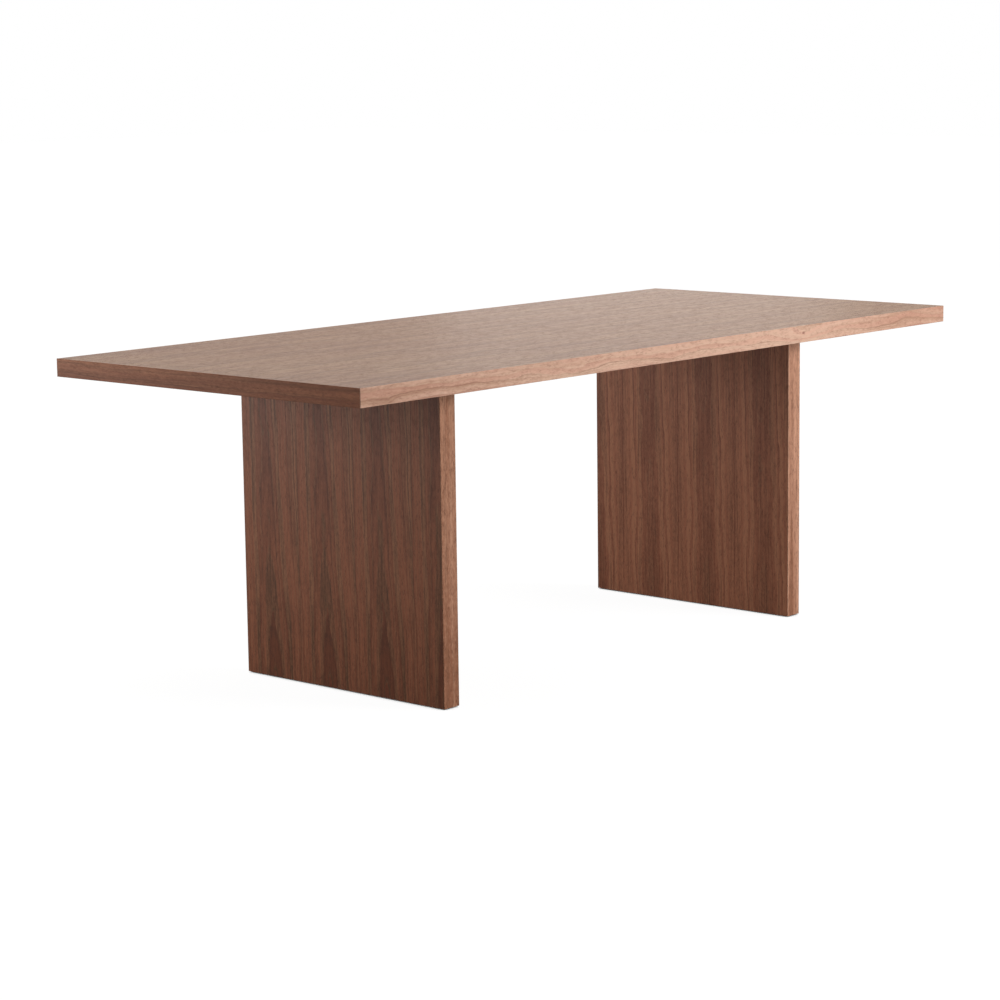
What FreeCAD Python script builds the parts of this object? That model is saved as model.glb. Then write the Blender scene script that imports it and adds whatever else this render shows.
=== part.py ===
"""Parsons dining table: a thick veneered top on two broad slab legs.

The top and both legs are hollow-core panels: a grooved poplar frame between two MDF skins,
with walnut veneer on the faces and walnut bands round the edges. Each leg carries a steel
bracket of T section: the blade is glued into a slot in the leg's head rail, and the plate lies
flush in the underside of the top, where machine screws in long nuts hold it. The table so
comes apart into three pieces. Four levelling glides screw into long nuts in the legs' feet.

Millimetres. The origin is on the floor under the middle of the top, +X runs along the length
and +Z is up. The right-hand leg is at +X and the front long edge is at -Y.
"""
import FreeCAD
import Part
import Sketcher

import os

from FreeCAD import Vector

# The sizes that can be set, each written once.
SIZES = {
    # the table as a whole
    "table_length": 2110.0,
    "table_width": 925.0,
    "table_height": 750.0,
    "top_thick": 40.0,
    "leg_inset": 400.0,
    "leg_thick": 48.0,
    "leg_width": 610.0,
    # the panels' make-up
    "veneer_thick": 0.5,
    "skin_thick": 5.5,
    "band_thick": 1.5,
    "arris_radius": 0.8,
    # the frame inside the top
    "side_rail_width": 60.0,
    "end_rail_width": 60.0,
    "cross_rail_width": 45.0,
    "cross_rail_count": 3,
    "spine_width": 45.0,
    "fixing_rail_margin": 20.0,
    # the frames inside the legs
    "stile_width": 50.0,
    "mid_rail_height": 45.0,
    "head_rail_cover": 30.0,
    "foot_rail_cover": 36.5,
    # the tongues on the rails, and the room past their ends
    "tongue_thick": 8.0,
    "tongue_length": 10.0,
    "tongue_room": 0.5,
    # the steel brackets, whose plates are as thick as veneer and skin together
    "plate_setback": 35.0,
    "plate_corner": 10.0,
    "plate_room": 0.5,
    "blade_thick": 6.0,
    "blade_depth": 80.0,
    "blade_to_stile": 30.0,
    "blade_corner": 12.0,
    "slot_room": 0.1,
    "slot_end_room": 1.0,
    # machine screws from below, through plate into top
    "bolt_radius": 4.0,
    "bolt_rows": 2,
    "bolt_to_leg": 20.0,
    "bolt_to_plate_side": 21.0,
    "bolt_to_plate_end": 45.0,
    "bolt_hole_room": 0.5,
    "bolt_head_radius": 8.75,
    "bolt_head_height": 4.4,
    "bolt_crown_radius": 4.5,
    "bolt_socket_flats": 5.0,
    "bolt_socket_depth": 2.6,
    # long hexagonal nuts, glued into round holes in the top and in the feet
    "nut_flats": 13.0,
    "nut_cover": 2.0,
    "nut_glue": 0.05,
    "thread_room": 0.05,
    "bolt_short_of_nut": 7.0,
    "foot_nut_length": 24.0,
    # levelling glides
    "foot_gap": 2.5,
    "glide_to_stile": 28.5,
    "pad_flats": 22.0,
    "pad_thick": 5.0,
    "pad_floor": 2.0,
    "pad_side_room": 1.3,
    "pad_roof_room": 0.3,
    "stem_radius": 4.0,
    "stem_length": 40.0,
    "stem_tip_room": 4.0,
}

doc = FreeCAD.newDocument("parsons_dining_table")
sizes = doc.addObject("Spreadsheet::Sheet", "sizes")
for row, (alias, value) in enumerate(SIZES.items(), start=1):
    sizes.set(f"A{row}", alias)
    sizes.set(f"B{row}", str(value))
    sizes.setAlias(f"B{row}", alias)
doc.recompute()

# Places that several pieces share, as expressions on the sizes.
HALF_LENGTH = "(sizes.table_length / 2)"
HALF_WIDTH = "(sizes.table_width / 2)"
PANEL_X = f"({HALF_LENGTH} - sizes.band_thick)"
PANEL_Y = f"({HALF_WIDTH} - sizes.band_thick)"
TOP_FACE = "sizes.table_height"
UNDERSIDE = "(sizes.table_height - sizes.top_thick)"
UPPER_SKIN_TOP = "(sizes.table_height - sizes.veneer_thick)"
CORE_HIGH = f"({UPPER_SKIN_TOP} - sizes.skin_thick)"
LOWER_SKIN_LOW = f"({UNDERSIDE} + sizes.veneer_thick)"
CORE_LOW = f"({LOWER_SKIN_LOW} + sizes.skin_thick)"
CORE_MIDDLE = f"(({CORE_LOW} + {CORE_HIGH}) / 2)"
TONGUE_HALF = "(sizes.tongue_thick / 2)"
GROOVE_DEPTH = "(sizes.tongue_length + sizes.tongue_room)"
SIDE_RAIL_INNER = f"({PANEL_Y} - sizes.side_rail_width)"

LEG_CENTRE = f"({HALF_LENGTH} - sizes.leg_inset - sizes.leg_thick / 2)"
LEG_FOOT = "sizes.foot_gap"
LEG_HALF = "(sizes.leg_thick / 2)"
LEG_SKIN_FACE = f"({LEG_HALF} - sizes.veneer_thick)"
LEG_CORE_HALF = f"({LEG_SKIN_FACE} - sizes.skin_thick)"
LEG_EDGE = "(sizes.leg_width / 2)"
LEG_PANEL_Y = f"({LEG_EDGE} - sizes.band_thick)"
STILE_INNER = f"({LEG_PANEL_Y} - sizes.stile_width)"

PLATE_THICK = "(sizes.veneer_thick + sizes.skin_thick)"
PLATE_HALF_LENGTH = f"({LEG_EDGE} - sizes.plate_setback)"
PLATE_HALF_WIDTH = f"({LEG_HALF} + sizes.bolt_to_leg + sizes.bolt_to_plate_side)"
RECESS_HALF_LENGTH = f"({PLATE_HALF_LENGTH} + sizes.plate_room)"
RECESS_HALF_WIDTH = f"({PLATE_HALF_WIDTH} + sizes.plate_room)"
RECESS_CORNER = "(sizes.plate_corner + sizes.plate_room)"
FIXING_RAIL_HALF = f"({PLATE_HALF_WIDTH} + sizes.fixing_rail_margin)"

BOLT_X = f"({LEG_HALF} + sizes.bolt_to_leg)"
BOLT_Y = f"({PLATE_HALF_LENGTH} - sizes.bolt_to_plate_end)"
NUT_TOP = f"({CORE_HIGH} - sizes.nut_cover)"
BOLT_TIP = f"({NUT_TOP} - sizes.bolt_short_of_nut)"
NUT_HOLE_RADIUS = "(sizes.nut_flats / 2 / cos(30 deg) + sizes.nut_glue)"

BLADE_HALF_LENGTH = f"({STILE_INNER} - sizes.blade_to_stile)"
BLADE_LOW = f"({UNDERSIDE} - sizes.blade_depth)"
SLOT_LOW = f"({BLADE_LOW} - sizes.slot_end_room)"
HEAD_RAIL_LOW = f"({SLOT_LOW} - sizes.head_rail_cover)"

GLIDE_Y = f"({STILE_INNER} - sizes.glide_to_stile)"
PAD_CORNER = "(sizes.pad_flats / 2 / cos(30 deg))"
PAD_ROOF = "(sizes.pad_thick + sizes.pad_roof_room)"
FOOT_NUT_TOP = f"({PAD_ROOF} + sizes.foot_nut_length)"
STEM_TOP = "(sizes.pad_floor + sizes.stem_length)"
STEM_BORE_TOP = f"({STEM_TOP} + sizes.stem_tip_room)"
FOOT_RAIL_TOP = f"({STEM_BORE_TOP} + sizes.foot_rail_cover)"

SPINE_HALF = f"({LEG_CENTRE} - {FIXING_RAIL_HALF})"
CROSS_PITCH = f"(2 * {SPINE_HALF} / (sizes.cross_rail_count + 1))"

LEFT = -1
RIGHT = 1
FRONT = -1
BACK = 1
SIDES = (("left", LEFT), ("right", RIGHT))
EDGES = (("front", FRONT), ("back", BACK))


def number(expression):
    """What an expression on the sizes comes to, as a plain number."""
    return float(sizes.evalExpression(str(expression)))


def signed(side, expression):
    """A place measured outwards from the middle, on the left or right, front or back."""
    return expression if side > 0 else f"(-1 * {expression})"


def span(side, near, far):
    """The low and high place of what lies from near to far on one side of the middle."""
    return (near, far) if side > 0 else (f"(-1 * {far})", f"(-1 * {near})")


def about(middle, half):
    return f"({middle} - {half})", f"({middle} + {half})"


def across(half):
    """The low and high place of what lies evenly across the middle."""
    return f"(-1 * {half})", half


# ---- sketches and features that every piece is made with

def new_body(node):
    body = doc.addObject("PartDesign::Body", node)
    body.Label = node
    return body


def origin_feature(body, role):
    return next(f for f in body.Origin.OriginFeatures if f.Role == role)


def new_sketch(body, plane, offset="0", shift=("0", "0")):
    """A sketch on an origin plane, moved off it by offset and along it by shift."""
    sketch = body.newObject("Sketcher::SketchObject", "sketch")
    sketch.AttachmentSupport = [(origin_feature(body, plane), "")]
    sketch.MapMode = "FlatFace"
    sketch.setExpression(".AttachmentOffset.Base.x", shift[0])
    sketch.setExpression(".AttachmentOffset.Base.y", shift[1])
    sketch.setExpression(".AttachmentOffset.Base.z", offset)
    return sketch


def pin(sketch, geometry, point, place):
    """Hold a point of the sketch at a place given by two expressions."""
    for kind, expression in zip(("DistanceX", "DistanceY"), place):
        held = Sketcher.Constraint(kind, -1, 1, geometry, point, number(expression))
        index = sketch.addConstraint(held)
        sketch.setExpression(f"Constraints[{index}]", expression)


def draw_outline(sketch, corners):
    """A closed outline of straight sides."""
    points = [Vector(number(u), number(v), 0) for u, v in corners]
    lines = [sketch.addGeometry(Part.LineSegment(start, end))
             for start, end in zip(points, points[1:] + points[:1])]
    for line, following in zip(lines, lines[1:] + lines[:1]):
        sketch.addConstraint(Sketcher.Constraint("Coincident", line, 2, following, 1))
    for line, corner in zip(lines, corners):
        pin(sketch, line, 1, corner)


def draw_rectangle(sketch, u, v):
    """A rectangle between a low and a high place each way."""
    (low_u, high_u), (low_v, high_v) = u, v
    draw_outline(sketch, [(low_u, low_v), (high_u, low_v), (high_u, high_v), (low_u, high_v)])


def draw_circle(sketch, radius, centre=("0", "0")):
    middle = Vector(number(centre[0]), number(centre[1]), 0)
    circle = sketch.addGeometry(Part.Circle(middle, Vector(0, 0, 1), number(radius)))
    pin(sketch, circle, 3, centre)
    index = sketch.addConstraint(Sketcher.Constraint("Radius", circle, number(radius)))
    sketch.setExpression(f"Constraints[{index}]", radius)


def draw_hexagon(sketch, flats):
    """A hexagon about the sketch's origin, given across its flats."""
    corner = f"({flats} / 2 / cos(30 deg))"
    turns = [f"{60 * side} deg" for side in range(6)]
    draw_outline(sketch, [(f"({corner} * cos({turn}))", f"({corner} * sin({turn}))")
                          for turn in turns])


def pad(body, sketch, length):
    feature = body.newObject("PartDesign::Pad", "pad")
    feature.Profile = sketch
    feature.setExpression("Length", length)
    sketch.Visibility = False
    doc.recompute()
    return feature


def pocket(body, sketch, length):
    """Cut from the sketch against its plane's normal: downwards from a level sketch."""
    before = body.Shape.Volume
    feature = body.newObject("PartDesign::Pocket", "pocket")
    feature.Profile = sketch
    feature.setExpression("Length", length)
    doc.recompute()
    assert body.Shape.Volume < before, f"{body.Label}: a pocket cut nothing"
    return feature


def revolve(body, sketch, kind="PartDesign::Revolution"):
    """Turn an outline a full circle about its sketch's own upright axis."""
    feature = body.newObject(kind, "revolve")
    feature.Profile = sketch
    feature.ReferenceAxis = (sketch, ["V_Axis"])
    feature.Angle = 360
    doc.recompute()
    return feature


def round_edges(body, base, radius, chosen):
    """Round the edges of a feature that chosen picks by their two end points."""
    names = [f"Edge{index}" for index, edge in enumerate(base.Shape.Edges, start=1)
             if len(edge.Vertexes) == 2 and chosen(*(v.Point for v in edge.Vertexes))]
    feature = body.newObject("PartDesign::Fillet", "fillet")
    feature.Base = (base, names)
    feature.setExpression("Radius", radius)
    doc.recompute()
    return feature


def repeat(body, features, runs):
    """Repeat features in a row, or in a grid of rows, each (axis role, length, count)."""
    rows = []
    for role, length, count in runs:
        row = doc.addObject("PartDesign::LinearPattern", "row")
        row.Direction = (origin_feature(body, role), [""])
        row.setExpression("Length", length)
        row.setExpression("Occurrences", count)
        rows.append(row)
    if len(rows) == 1:
        body.addObject(rows[0])
        rows[0].Originals = features
        body.Tip = rows[0]
    else:
        grid = body.newObject("PartDesign::MultiTransform", "grid")
        grid.Originals = features
        for row in rows:
            body.addObject(row)
        grid.Transformations = rows
        body.Tip = grid
    doc.recompute()


def board(node, x, y, z):
    """A plain rectangular piece between a low and a high place on each axis."""
    body = new_body(node)
    sketch = new_sketch(body, "XY_Plane", z[0])
    draw_rectangle(sketch, x, y)
    pad(body, sketch, f"({z[1]} - {z[0]})")
    return body


def tongued_ends(half, low, high):
    """Outline of a rail seen along its width: tongues on both ends, at mid thickness."""
    middle = f"(({low} + {high}) / 2)"
    tip = f"({half} + sizes.tongue_length)"
    under, over = about(middle, TONGUE_HALF)
    right = [(half, low), (half, under), (tip, under), (tip, over), (half, over), (half, high)]
    left = [(f"(-1 * {u})", v) for u, v in reversed(right)]
    return right + left


def grooved_edge(side, inner, outer, low, high):
    """Section of a rail or stile with a groove for tongues along its inner edge."""
    middle = f"(({low} + {high}) / 2)"
    under, over = about(middle, TONGUE_HALF)
    bottom_of_groove = f"({inner} + {GROOVE_DEPTH})"
    corners = [(inner, low), (outer, low), (outer, high), (inner, high),
               (inner, over), (bottom_of_groove, over), (bottom_of_groove, under),
               (inner, under)]
    return [(signed(side, u), v) for u, v in corners]


def swapped(corners):
    return [(v, u) for u, v in corners]


def parallel(a, b, axis):
    """Whether the line from a to b runs along one axis, named x, y or z."""
    others = {"x", "y", "z"} - {axis}
    return all(abs(getattr(a, other) - getattr(b, other)) < 1e-6 for other in others)


# ---- the top

def top_faces():
    """Veneers and skins: level sheets, the lower two opened for the mounting plates."""
    x, y = across(PANEL_X), across(PANEL_Y)
    board("top_face_veneer", x, y, (UPPER_SKIN_TOP, TOP_FACE))
    board("top_upper_skin", x, y, (CORE_HIGH, UPPER_SKIN_TOP))
    skin = board("top_lower_skin", x, y, (LOWER_SKIN_LOW, CORE_LOW))
    veneer = board("top_underside_veneer", x, y, (UNDERSIDE, LOWER_SKIN_LOW))
    for _, side in SIDES:
        cut_plate_opening(skin, side, CORE_LOW, "sizes.skin_thick")
        cut_plate_opening(veneer, side, LOWER_SKIN_LOW, "sizes.veneer_thick")


def cut_plate_opening(sheet, side, upper_face, thickness):
    """A round-cornered opening right through a sheet, a little larger than the plate."""
    centre = signed(side, LEG_CENTRE)
    sketch = new_sketch(sheet, "XY_Plane", upper_face, (centre, "0"))
    draw_rectangle(sketch, across(RECESS_HALF_WIDTH), across(RECESS_HALF_LENGTH))
    cut = pocket(sheet, sketch, thickness)
    half_length, half_width = number(RECESS_HALF_LENGTH), number(RECESS_HALF_WIDTH)
    middle = number(centre)

    def is_corner(a, b):
        on_corner = (abs(abs(a.y) - half_length) < 1e-6
                     and abs(abs(a.x - middle) - half_width) < 1e-6)
        return on_corner and parallel(a, b, "z")

    round_edges(sheet, cut, RECESS_CORNER, is_corner)


def bolt_grid():
    """The runs of the grid that the plate's machine screws stand on."""
    return (("X_Axis", f"(2 * {BOLT_X})", "2"),
            ("Y_Axis", f"(2 * {BOLT_Y})", "sizes.bolt_rows"))


def first_bolt(side):
    return f"({signed(side, LEG_CENTRE)} - {BOLT_X})", f"(-1 * {BOLT_Y})"


def top_bands():
    """Front and back bands run the full length, and the end bands stand between them."""
    half_length, half_width = number(HALF_LENGTH), number(HALF_WIDTH)
    for name, side in EDGES:
        band = board(f"top_{name}_edge_band", across(HALF_LENGTH),
                     span(side, PANEL_Y, HALF_WIDTH), (UNDERSIDE, TOP_FACE))

        def is_outer(a, b, outer=side * half_width):
            return abs(a.y - outer) < 1e-6 and abs(b.y - outer) < 1e-6

        round_edges(band, band.Tip, "sizes.arris_radius", is_outer)
    for name, side in SIDES:
        band = board(f"top_{name}_edge_band", span(side, PANEL_X, HALF_LENGTH),
                     across(PANEL_Y), (UNDERSIDE, TOP_FACE))

        def is_arris(a, b, outer=side * half_length):
            return abs(a.x - outer) < 1e-6 and parallel(a, b, "y")

        round_edges(band, band.Tip, "sizes.arris_radius", is_arris)


def top_side_rails():
    """Long front and back rails, grooved along their inner edge for the other rails."""
    for name, side in EDGES:
        rail = new_body(f"top_{name}_rail")
        sketch = new_sketch(rail, "YZ_Plane", f"(-1 * {PANEL_X})")
        draw_outline(sketch, grooved_edge(side, SIDE_RAIL_INNER, PANEL_Y, CORE_LOW, CORE_HIGH))
        pad(rail, sketch, f"(2 * {PANEL_X})")


def tongued_rail(node, x):
    """A rail from front to back between two places along the length."""
    rail = new_body(node)
    sketch = new_sketch(rail, "YZ_Plane", x[0])
    draw_outline(sketch, tongued_ends(SIDE_RAIL_INNER, CORE_LOW, CORE_HIGH))
    pad(rail, sketch, f"({x[1]} - {x[0]})")
    return rail


def top_end_rails():
    for name, side in SIDES:
        tongued_rail(f"top_{name}_end_rail",
                     span(side, f"({PANEL_X} - sizes.end_rail_width)", PANEL_X))


def top_fixing_rails():
    """Broad rails over the legs, which hold the long nuts and the ends of the spine."""
    for name, side in SIDES:
        rail = tongued_rail(f"top_{name}_fixing_rail",
                            about(signed(side, LEG_CENTRE), FIXING_RAIL_HALF))
        sketch = new_sketch(rail, "XY_Plane", f"({CORE_MIDDLE} + {TONGUE_HALF})")
        draw_rectangle(sketch, span(side, SPINE_HALF, f"({SPINE_HALF} + {GROOVE_DEPTH})"),
                       across("(sizes.spine_width / 2)"))
        pocket(rail, sketch, "sizes.tongue_thick")
        sketch = new_sketch(rail, "XY_Plane", NUT_TOP, first_bolt(side))
        draw_circle(sketch, NUT_HOLE_RADIUS)
        repeat(rail, [pocket(rail, sketch, f"({NUT_TOP} - {CORE_LOW})")], bolt_grid())


def top_spine():
    """A rail along the middle, notched from below over each cross rail."""
    rail = new_body("top_spine_rail")
    sketch = new_sketch(rail, "XZ_Plane", "(-1 * sizes.spine_width / 2)")
    draw_outline(sketch, tongued_ends(SPINE_HALF, CORE_LOW, CORE_HIGH))
    pad(rail, sketch, "sizes.spine_width")
    first = f"({CROSS_PITCH} - {SPINE_HALF})"
    sketch = new_sketch(rail, "XY_Plane", CORE_MIDDLE)
    draw_rectangle(sketch, about(first, "(sizes.cross_rail_width / 2)"),
                   across("(sizes.spine_width / 2)"))
    notch = pocket(rail, sketch, f"({CORE_MIDDLE} - {CORE_LOW})")
    repeat(rail, [notch], [("X_Axis", f"({CROSS_PITCH} * (sizes.cross_rail_count - 1))",
                            "sizes.cross_rail_count")])


def top_cross_rails():
    """Rails across the middle bay, notched from above where the spine crosses them."""
    for index in range(SIZES["cross_rail_count"]):
        place = f"({CROSS_PITCH} * {index + 1} - {SPINE_HALF})"
        rail = tongued_rail(f"top_cross_rail_{index + 1}",
                            about(place, "(sizes.cross_rail_width / 2)"))
        sketch = new_sketch(rail, "XY_Plane", CORE_HIGH)
        draw_rectangle(sketch, about(place, "(sizes.cross_rail_width / 2)"),
                       across("(sizes.spine_width / 2)"))
        pocket(rail, sketch, f"({CORE_HIGH} - {CORE_MIDDLE})")


# ---- the legs

def leg_faces(name, side):
    y, z = across(LEG_PANEL_Y), (LEG_FOOT, UNDERSIDE)
    for face, outward in (("outer", side), ("inner", -side)):
        for layer, near, far in (("veneer", LEG_SKIN_FACE, LEG_HALF),
                                 ("skin", LEG_CORE_HALF, LEG_SKIN_FACE)):
            x = tuple(f"({signed(side, LEG_CENTRE)} + {place})"
                      for place in span(outward, near, far))
            board(f"{name}_leg_{face}_{layer}", x, y, z)


def leg_bands(name, side):
    outer_y = number(LEG_EDGE)
    for edge, toward in EDGES:
        band = board(f"{name}_leg_{edge}_edge_band", about(signed(side, LEG_CENTRE), LEG_HALF),
                     span(toward, LEG_PANEL_Y, LEG_EDGE), (LEG_FOOT, UNDERSIDE))

        def is_arris(a, b):
            return abs(abs(a.y) - outer_y) < 1e-6 and parallel(a, b, "z")

        round_edges(band, band.Tip, "sizes.arris_radius", is_arris)


def leg_frame(name, side):
    """Two grooved stiles, and three rails with tongues in the grooves."""
    low, high = about(signed(side, LEG_CENTRE), LEG_CORE_HALF)
    for edge, toward in EDGES:
        stile = new_body(f"{name}_leg_{edge}_stile")
        sketch = new_sketch(stile, "XY_Plane", LEG_FOOT)
        draw_outline(sketch, swapped(grooved_edge(toward, STILE_INNER, LEG_PANEL_Y, low, high)))
        pad(stile, sketch, f"({UNDERSIDE} - {LEG_FOOT})")
    middle = f"(({UNDERSIDE} + {LEG_FOOT}) / 2)"
    mid_low, mid_high = about(middle, "(sizes.mid_rail_height / 2)")
    for place, rail_low, rail_high in (("head", HEAD_RAIL_LOW, UNDERSIDE),
                                       ("middle", mid_low, mid_high),
                                       ("foot", LEG_FOOT, FOOT_RAIL_TOP)):
        rail = new_body(f"{name}_leg_{place}_rail")
        sketch = new_sketch(rail, "XY_Plane", rail_low)
        draw_outline(sketch, swapped(tongued_ends(STILE_INNER, low, high)))
        pad(rail, sketch, f"({rail_high} - {rail_low})")
        if place == "head":
            cut_blade_slot(rail, side)
        if place == "foot":
            cut_glide_sockets(rail, side)


def cut_blade_slot(rail, side):
    sketch = new_sketch(rail, "XY_Plane", UNDERSIDE, (signed(side, LEG_CENTRE), "0"))
    draw_rectangle(sketch, across("(sizes.blade_thick / 2 + sizes.slot_room)"),
                   across(f"({BLADE_HALF_LENGTH} + sizes.slot_end_room)"))
    pocket(rail, sketch, f"({UNDERSIDE} - {SLOT_LOW})")


def cut_glide_sockets(rail, side):
    """A wide seat for the pad, and above it a hole for the long nut and the stem's tip."""
    seat = f"({PAD_CORNER} + sizes.pad_side_room)"
    sketch = upright_sketch(rail, signed(side, LEG_CENTRE), f"(-1 * {GLIDE_Y})")
    draw_outline(sketch, [("0", LEG_FOOT), (seat, LEG_FOOT), (seat, PAD_ROOF),
                          (NUT_HOLE_RADIUS, PAD_ROOF), (NUT_HOLE_RADIUS, STEM_BORE_TOP),
                          ("0", STEM_BORE_TOP)])
    socket = revolve(rail, sketch, "PartDesign::Groove")
    repeat(rail, [socket], [("Y_Axis", f"(2 * {GLIDE_Y})", "2")])


def upright_sketch(body, x, y):
    """A sketch of radius and height, standing on the vertical axis through x, y."""
    return new_sketch(body, "XZ_Plane", f"(-1 * {y})", (x, "0"))


# ---- what joins the legs to the top

def mounting_bracket(name, side):
    """A steel T: a plate that fills its opening in the top, on a blade that enters the leg."""
    bracket = new_body(f"{name}_mounting_bracket")
    centre = signed(side, LEG_CENTRE)
    sketch = new_sketch(bracket, "XY_Plane", UNDERSIDE, (centre, "0"))
    draw_rectangle(sketch, across(PLATE_HALF_WIDTH), across(PLATE_HALF_LENGTH))
    plate = pad(bracket, sketch, PLATE_THICK)
    round_edges(bracket, plate, "sizes.plate_corner", lambda a, b: parallel(a, b, "z"))
    sketch = new_sketch(bracket, "YZ_Plane", f"({centre} - sizes.blade_thick / 2)")
    shoulder = f"({BLADE_LOW} + sizes.blade_corner)"
    toe = f"({BLADE_HALF_LENGTH} - sizes.blade_corner)"
    draw_outline(sketch, [(BLADE_HALF_LENGTH, UNDERSIDE), (f"(-1 * {BLADE_HALF_LENGTH})", UNDERSIDE),
                          (f"(-1 * {BLADE_HALF_LENGTH})", shoulder), (f"(-1 * {toe})", BLADE_LOW),
                          (toe, BLADE_LOW), (BLADE_HALF_LENGTH, shoulder)])
    pad(bracket, sketch, "sizes.blade_thick")
    sketch = new_sketch(bracket, "XY_Plane", CORE_LOW, first_bolt(side))
    draw_circle(sketch, "(sizes.bolt_radius + sizes.bolt_hole_room)")
    repeat(bracket, [pocket(bracket, sketch, PLATE_THICK)], bolt_grid())


def top_bolts(name, side):
    """Low-headed machine screws, up through the plate into the top's long nuts."""
    bolts = new_body(f"{name}_top_bolts")
    crown = f"({UNDERSIDE} - sizes.bolt_head_height)"
    sketch = upright_sketch(bolts, *first_bolt(side))
    draw_outline(sketch, [("0", crown), ("sizes.bolt_crown_radius", crown),
                          ("sizes.bolt_head_radius", UNDERSIDE),
                          ("sizes.bolt_radius", UNDERSIDE),
                          ("sizes.bolt_radius", BOLT_TIP), ("0", BOLT_TIP)])
    shank = revolve(bolts, sketch)
    sketch = new_sketch(bolts, "XY_Plane", f"({crown} + sizes.bolt_socket_depth)",
                        first_bolt(side))
    draw_hexagon(sketch, "sizes.bolt_socket_flats")
    socket = pocket(bolts, sketch, "sizes.bolt_socket_depth")
    repeat(bolts, [shank, socket], bolt_grid())


def long_nuts(node, first, runs, z, bolt_radius):
    """A row or grid of hexagonal nuts, each bored for its screw from end to end."""
    nuts = new_body(node)
    sketch = new_sketch(nuts, "XY_Plane", z[0], first)
    draw_hexagon(sketch, "sizes.nut_flats")
    draw_circle(sketch, f"({bolt_radius} + sizes.thread_room)")
    repeat(nuts, [pad(nuts, sketch, f"({z[1]} - {z[0]})")], runs)


def top_and_foot_nuts(name, side):
    long_nuts(f"{name}_top_nuts", first_bolt(side), bolt_grid(),
              (CORE_LOW, NUT_TOP), "sizes.bolt_radius")
    long_nuts(f"{name}_foot_nuts", (signed(side, LEG_CENTRE), f"(-1 * {GLIDE_Y})"),
              [("Y_Axis", f"(2 * {GLIDE_Y})", "2")], (PAD_ROOF, FOOT_NUT_TOP),
              "sizes.stem_radius")


# ---- the levelling glides

def levelling_glide(name, side, edge, toward):
    """A threaded stem, and the six-sided nylon pad on its foot that stands on the floor."""
    place = signed(side, LEG_CENTRE), signed(toward, GLIDE_Y)
    stem = new_body(f"{name}_{edge}_glide_stem")
    sketch = new_sketch(stem, "XY_Plane", "sizes.pad_floor", place)
    draw_circle(sketch, "sizes.stem_radius")
    pad(stem, sketch, "sizes.stem_length")
    foot = new_body(f"{name}_{edge}_glide_pad")
    sketch = new_sketch(foot, "XY_Plane", "0", place)
    draw_hexagon(sketch, "sizes.pad_flats")
    pad(foot, sketch, "sizes.pad_thick")
    sketch = new_sketch(foot, "XY_Plane", "sizes.pad_thick", place)
    draw_circle(sketch, "(sizes.stem_radius + sizes.thread_room)")
    pocket(foot, sketch, "(sizes.pad_thick - sizes.pad_floor)")


def build_table():
    top_faces()
    top_bands()
    top_side_rails()
    top_end_rails()
    top_fixing_rails()
    top_spine()
    top_cross_rails()
    for name, side in SIDES:
        leg_faces(name, side)
        leg_bands(name, side)
        leg_frame(name, side)
        mounting_bracket(name, side)
        top_bolts(name, side)
        top_and_foot_nuts(name, side)
        for edge, toward in EDGES:
            levelling_glide(name, side, edge, toward)
    doc.recompute()


def check_document():
    for item in doc.Objects:
        wrong = {"Invalid", "Error"} & set(item.State)
        assert not wrong, f"{item.Label}: {item.State}"
    pieces = [item for item in doc.Objects if item.TypeId == "PartDesign::Body"]
    for piece in pieces:
        assert not piece.Shape.isNull(), f"{piece.Label} has no shape"
        assert piece.Shape.isValid(), f"{piece.Label} isn't valid"
    return pieces


def write_pieces(pieces):
    os.makedirs("parts", exist_ok=True)
    for piece in pieces:
        piece.Shape.exportStep(f"parts/{piece.Label}.step")
        print(f"{piece.Label}: {len(piece.Shape.Solids)} solids, {piece.Shape.Volume:.1f} mm3")
    print(f"{len(pieces)} pieces")


build_table()
write_pieces(check_document())
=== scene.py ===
"""Finishes, light and camera for the parsons dining table.

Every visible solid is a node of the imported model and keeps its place. This script gives each
one its finish, cuts the threads and the rounded screw heads that are too fine for the solids,
and lights the table on a plain pale floor. Metres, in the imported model's own frame: +X runs
along the table, -Y is its front and +Z is up.
"""

import math

import bmesh
import bpy
from mathutils import Matrix, Vector


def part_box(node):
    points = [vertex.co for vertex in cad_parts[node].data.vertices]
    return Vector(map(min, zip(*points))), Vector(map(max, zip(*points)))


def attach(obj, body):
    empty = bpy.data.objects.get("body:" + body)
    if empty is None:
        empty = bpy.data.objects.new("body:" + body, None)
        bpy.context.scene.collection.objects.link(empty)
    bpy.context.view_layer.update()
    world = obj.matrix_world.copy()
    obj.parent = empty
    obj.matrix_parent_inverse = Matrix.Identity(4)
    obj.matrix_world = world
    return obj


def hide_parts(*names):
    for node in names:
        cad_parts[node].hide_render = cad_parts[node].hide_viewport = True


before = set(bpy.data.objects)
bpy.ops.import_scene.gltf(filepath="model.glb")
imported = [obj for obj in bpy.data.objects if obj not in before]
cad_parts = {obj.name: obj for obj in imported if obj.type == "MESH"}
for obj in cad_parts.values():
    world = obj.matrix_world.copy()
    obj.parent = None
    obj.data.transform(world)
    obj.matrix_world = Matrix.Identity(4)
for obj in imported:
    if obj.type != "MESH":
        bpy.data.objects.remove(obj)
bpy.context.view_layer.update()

MM = 0.001
MIDDLE_TONE = 0.5


# ---- wiring nodes together

# Where a mix node keeps its share, and the values and colours that it mixes.
MIX_SHARE = 0
FIRST_VALUE, SECOND_VALUE, MIXED_VALUE = 2, 3, 0
FIRST_COLOUR, SECOND_COLOUR, MIXED_COLOUR = 6, 7, 2


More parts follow.
